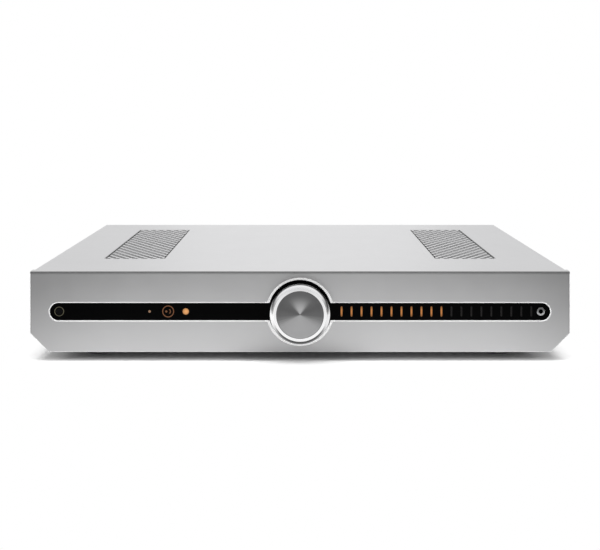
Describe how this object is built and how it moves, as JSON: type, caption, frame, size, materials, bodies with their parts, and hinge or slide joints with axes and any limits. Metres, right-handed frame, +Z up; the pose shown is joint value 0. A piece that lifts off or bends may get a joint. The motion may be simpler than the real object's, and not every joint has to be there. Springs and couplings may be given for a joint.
{
  "type": "integrated amplifier",
  "caption": "Low, full-width stereo amplifier with a slotted aluminium fascia, central rotary knob, light-bar display, top vents and rear sockets and terminals.",
  "frame": {"origin": "centre of the footprint on the resting plane, at the underside of the feet", "axes": "+Z up, -Y out of the front fascia, +X to the right of someone facing the fascia"},
  "size_m": [0.432, 0.377, 0.072],
  "materials": {
    "fascia_silver": "fine bead-blasted, clear anodised",
    "case_silver": "satin silver powder coat",
    "vent_grey": "satin grey",
    "chassis_black": "fine textured black",
    "subframe_steel": "zinc plated",
    "window_black": "polished black acrylic",
    "amber_light": "translucent amber",
    "dim_light": "translucent smoke",
    "standby_light": "translucent",
    "knob_silver": "polished rim",
    "knob_spun": "spun, circular grain",
    "knob_black": "black anodised",
    "button_black": "gloss",
    "plated": "bright nickel plate",
    "gold": "gold plated",
    "black_plastic": "moulded",
    "clear_black": "moulded",
    "cap_red": "moulded red over brass",
    "cap_black": "moulded black over brass",
    "foot_black": "moulded",
    "foot_rubber": "matt",
    "screw_black": "blackened",
    "board_green": "solder mask over glass-epoxy",
    "component_mixed": "moulded",
    "capacitor_sleeve": "sleeved",
    "heatsink_black": "black anodised",
    "transformer": "tape-wrapped winding",
    "wire_grey": "insulated",
    "insulator_dark": "moulded"
  },
  "bodies": {
    "chassis": {"base_tray": "chassis_black", "board_components": "component_mixed", "board_standoffs": "plated", "case_screws": "screw_black", "digital_sockets": "black_plastic", "display_board": "board_green", "display_leds": "component_mixed", "display_window": "window_black", "encoder_body": "plated", "encoder_nut": "plated", "fascia_screws": "plated", "feet": "foot_black", "foot_pads": "foot_rubber", "foot_screws": "screw_black", "front_panel": "fascia_silver", "front_subframe": "subframe_steel", "ground_post": "plated", "headphone_bezel": "plated", "headphone_jack": "black_plastic", "heatsinks": "heatsink_black", "input_board": "board_green", "internal_wiring": "wire_grey", "level_bars_lit": "amber_light", "level_bars_unlit": "dim_light", "main_board": "board_green", "mains_inlet": "black_plastic", "power_transistors": "black_plastic", "rca_insulators": "insulator_dark", "rca_sockets": "gold", "rear_panel": "chassis_black", "reservoir_capacitors": "capacitor_sleeve", "rocker_housing": "black_plastic", "source_lights": "amber_light", "speaker_posts": "gold", "standby_ring_light": "standby_light", "standby_switch": "black_plastic", "terminal_plate": "clear_black", "top_cover": "case_silver", "toroidal_transformer": "transformer", "transformer_clamp": "plated", "vent_grilles": "vent_grey"},
    "knob_push": {"encoder_plunger": "plated"},
    "knob": {"knob_core": "knob_black", "knob_rim": "knob_silver", "knob_face": "knob_spun", "knob_grub_screw": "screw_black", "encoder_shaft": "plated"},
    "standby": {"standby_button": "button_black"},
    "rocker": {"power_rocker": "button_black"},
    "fuse_holder": {"fuse_drawer": "black_plastic"},
    "earth_washer": {"ground_washer": "plated"},
    "earth_nut": {"ground_nut": "plated"},
    "washer_1": {"clamp_washer_1": "gold"},
    "cap_1": {"speaker_cap_1": "cap_black"},
    "washer_2": {"clamp_washer_2": "gold"},
    "cap_2": {"speaker_cap_2": "cap_red"},
    "washer_3": {"clamp_washer_3": "gold"},
    "cap_3": {"speaker_cap_3": "cap_red"},
    "washer_4": {"clamp_washer_4": "gold"},
    "cap_4": {"speaker_cap_4": "cap_black"}
  },
  "joints": [
    {"name": "knob_press", "type": "slide", "parent": "chassis", "child": "knob_push", "axis": [0, 1, 0], "range_m": [0, 0.0005]},
    {"name": "knob_turn", "type": "hinge", "parent": "knob_push", "child": "knob", "pos_m": [0, -0.18, 0.0395], "axis": [0, 1, 0], "continuous": true},
    {"name": "standby_press", "type": "slide", "parent": "chassis", "child": "standby", "axis": [0, 1, 0], "range_m": [0, 0.0008]},
    {"name": "power_rock", "type": "hinge", "parent": "chassis", "child": "rocker", "pos_m": [-0.15, 0.1655, 0.04], "axis": [1, 0, 0], "range_deg": [-18, 0]},
    {"name": "fuse_drawer_slide", "type": "slide", "parent": "chassis", "child": "fuse_holder", "axis": [0, 1, 0], "range_m": [0, 0.018]},
    {"name": "post_1_travel", "type": "slide", "parent": "chassis", "child": "washer_1", "axis": [0, 1, 0], "range_m": [0, 0.004]},
    {"name": "post_1_turn", "type": "hinge", "parent": "washer_1", "child": "cap_1", "pos_m": [-0.11, 0.18, 0.04], "axis": [0, 1, 0], "range_deg": [0, 1441.5]},
    {"name": "post_2_travel", "type": "slide", "parent": "chassis", "child": "washer_2", "axis": [0, 1, 0], "range_m": [0, 0.004]},
    {"name": "post_2_turn", "type": "hinge", "parent": "washer_2", "child": "cap_2", "pos_m": [-0.09095, 0.18, 0.04], "axis": [0, 1, 0], "range_deg": [0, 1441.5]},
    {"name": "post_3_travel", "type": "slide", "parent": "chassis", "child": "washer_3", "axis": [0, 1, 0], "range_m": [0, 0.004]},
    {"name": "post_3_turn", "type": "hinge", "parent": "washer_3", "child": "cap_3", "pos_m": [-0.06405, 0.18, 0.04], "axis": [0, 1, 0], "range_deg": [0, 1441.5]},
    {"name": "post_4_travel", "type": "slide", "parent": "chassis", "child": "washer_4", "axis": [0, 1, 0], "range_m": [0, 0.004]},
    {"name": "post_4_turn", "type": "hinge", "parent": "washer_4", "child": "cap_4", "pos_m": [-0.045, 0.18, 0.04], "axis": [0, 1, 0], "range_deg": [0, 1441.5]},
    {"name": "earth_travel", "type": "slide", "parent": "chassis", "child": "earth_washer", "axis": [0, 1, 0], "range_m": [0, 0.0035]},
    {"name": "earth_turn", "type": "hinge", "parent": "earth_washer", "child": "earth_nut", "pos_m": [0.124, 0.175, 0.029], "axis": [0, 1, 0], "range_deg": [0, 1801.5]}
  ],
  "couplings": [
    {"joint": "post_1_turn", "follows": "post_1_travel", "rad_per_m": 6283.2},
    {"joint": "post_2_turn", "follows": "post_2_travel", "rad_per_m": 6283.2},
    {"joint": "post_3_turn", "follows": "post_3_travel", "rad_per_m": 6283.2},
    {"joint": "post_4_turn", "follows": "post_4_travel", "rad_per_m": 6283.2},
    {"joint": "earth_turn", "follows": "earth_travel", "rad_per_m": 8976}
  ]
}
